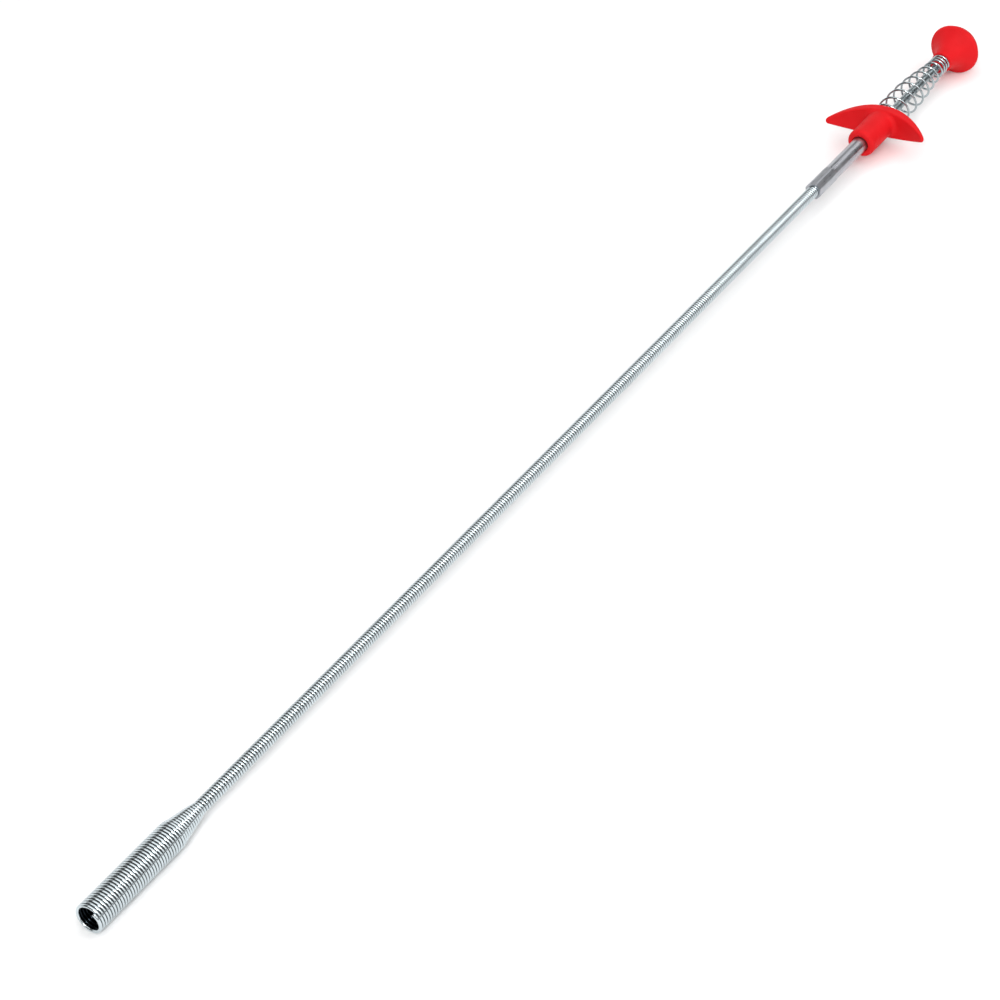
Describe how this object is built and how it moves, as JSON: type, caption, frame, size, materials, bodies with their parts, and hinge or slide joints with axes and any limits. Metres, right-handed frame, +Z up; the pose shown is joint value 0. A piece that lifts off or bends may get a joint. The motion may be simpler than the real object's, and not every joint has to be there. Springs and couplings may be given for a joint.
{
  "type": "drain auger",
  "caption": "Spring-claw drain auger: a push knob on a sprung plunger slides a core wire through a long flexible wire-wound shaft and opens spring claws at its wide tip.",
  "frame": {"origin": "centre of the tip's open mouth, on the tool's axis", "axes": "+X along the tool from the mouth to the push knob, +Z up, the wings of the finger grip along Y"},
  "size_m": [0.61, 0.0458, 0.0222],
  "materials": {
    "red_plastic": "satin moulded plastic",
    "plated_tube": "dull zinc-nickel plating, drawn lengthwise",
    "sheath_wire": "bright nickel-plated spring wire",
    "spring_wire": "bright plated spring wire",
    "rod_steel": "drawn steel",
    "brass": "turned brass"
  },
  "bodies": {
    "handle": {"finger_grip": "red_plastic", "handle_tube": "plated_tube", "rod_guide_bush": "brass", "sheath_rear": "sheath_wire", "return_spring": "spring_wire"},
    "plunger": {"knob": "red_plastic", "plunger_rod": "rod_steel", "rod_stop_collar": "plated_tube", "core_wire_rear": "rod_steel"},
    "shaft_1": {"sheath_1": "sheath_wire", "core_wire_1": "rod_steel"},
    "shaft_2": {"sheath_2": "sheath_wire", "core_wire_2": "rod_steel"},
    "shaft_3": {"sheath_3": "sheath_wire", "core_wire_3": "rod_steel"},
    "shaft_4": {"sheath_4": "sheath_wire", "core_wire_4": "rod_steel"},
    "shaft_5": {"sheath_5": "sheath_wire", "core_wire_5": "rod_steel"},
    "tip": {"tip_coil": "sheath_wire"},
    "claw_carrier": {"claw_collet": "brass", "core_wire_front": "rod_steel"},
    "claw_1": {"claw_wire_1": "spring_wire"},
    "claw_2": {"claw_wire_2": "spring_wire"},
    "claw_3": {"claw_wire_3": "spring_wire"},
    "claw_4": {"claw_wire_4": "spring_wire"}
  },
  "joints": [
    {"name": "plunger_push", "type": "slide", "parent": "handle", "child": "plunger", "axis": [-1, 0, 0], "range_m": [0, 0.032], "stiffness_N_per_m": 350, "springref_m": -0.012, "deforming": ["return_spring"]},
    {"name": "shaft_bend_1", "type": "hinge", "parent": "handle", "child": "shaft_1", "pos_m": [0.454, 0, 0], "axis": [0, 0, 1], "range_deg": [-25, 25], "stiffness_Nm_per_rad": 0.35},
    {"name": "shaft_bend_2", "type": "hinge", "parent": "shaft_1", "child": "shaft_2", "pos_m": [0.378, 0, 0], "axis": [0, 1, 0], "range_deg": [-25, 25], "stiffness_Nm_per_rad": 0.35},
    {"name": "shaft_bend_3", "type": "hinge", "parent": "shaft_2", "child": "shaft_3", "pos_m": [0.302, 0, 0], "axis": [0, 0, 1], "range_deg": [-25, 25], "stiffness_Nm_per_rad": 0.35},
    {"name": "shaft_bend_4", "type": "hinge", "parent": "shaft_3", "child": "shaft_4", "pos_m": [0.226, 0, 0], "axis": [0, 1, 0], "range_deg": [-25, 25], "stiffness_Nm_per_rad": 0.35},
    {"name": "shaft_bend_5", "type": "hinge", "parent": "shaft_4", "child": "shaft_5", "pos_m": [0.15, 0, 0], "axis": [0, 0, 1], "range_deg": [-25, 25], "stiffness_Nm_per_rad": 0.35},
    {"name": "shaft_bend_6", "type": "hinge", "parent": "shaft_5", "child": "tip", "pos_m": [0.074, 0, 0], "axis": [0, 1, 0], "range_deg": [-25, 25], "stiffness_Nm_per_rad": 0.35},
    {"name": "claw_carrier_slide", "type": "slide", "parent": "tip", "child": "claw_carrier", "axis": [-1, 0, 0], "range_m": [0, 0.032]},
    {"name": "claw_1_open", "type": "hinge", "parent": "claw_carrier", "child": "claw_1", "pos_m": [0.0337, -0.00071, 0.00071], "axis": [0, 0.7071, 0.7071], "range_deg": [0, 15.7]},
    {"name": "claw_2_open", "type": "hinge", "parent": "claw_carrier", "child": "claw_2", "pos_m": [0.0337, -0.00071, -0.00071], "axis": [0, -0.7071, 0.7071], "range_deg": [0, 15.7]},
    {"name": "claw_3_open", "type": "hinge", "parent": "claw_carrier", "child": "claw_3", "pos_m": [0.0337, 0.00071, -0.00071], "axis": [0, -0.7071, -0.7071], "range_deg": [0, 15.7]},
    {"name": "claw_4_open", "type": "hinge", "parent": "claw_carrier", "child": "claw_4", "pos_m": [0.0337, 0.00071, 0.00071], "axis": [0, 0.7071, -0.7071], "range_deg": [0, 15.7]}
  ],
  "couplings": [
    {"joint": "claw_carrier_slide", "follows": "plunger_push", "ratio": 1},
    {"joint": "claw_1_open", "follows": "plunger_push", "rad_per_m": 8.5},
    {"joint": "claw_2_open", "follows": "plunger_push", "rad_per_m": 8.5},
    {"joint": "claw_3_open", "follows": "plunger_push", "rad_per_m": 8.5},
    {"joint": "claw_4_open", "follows": "plunger_push", "rad_per_m": 8.5}
  ]
}
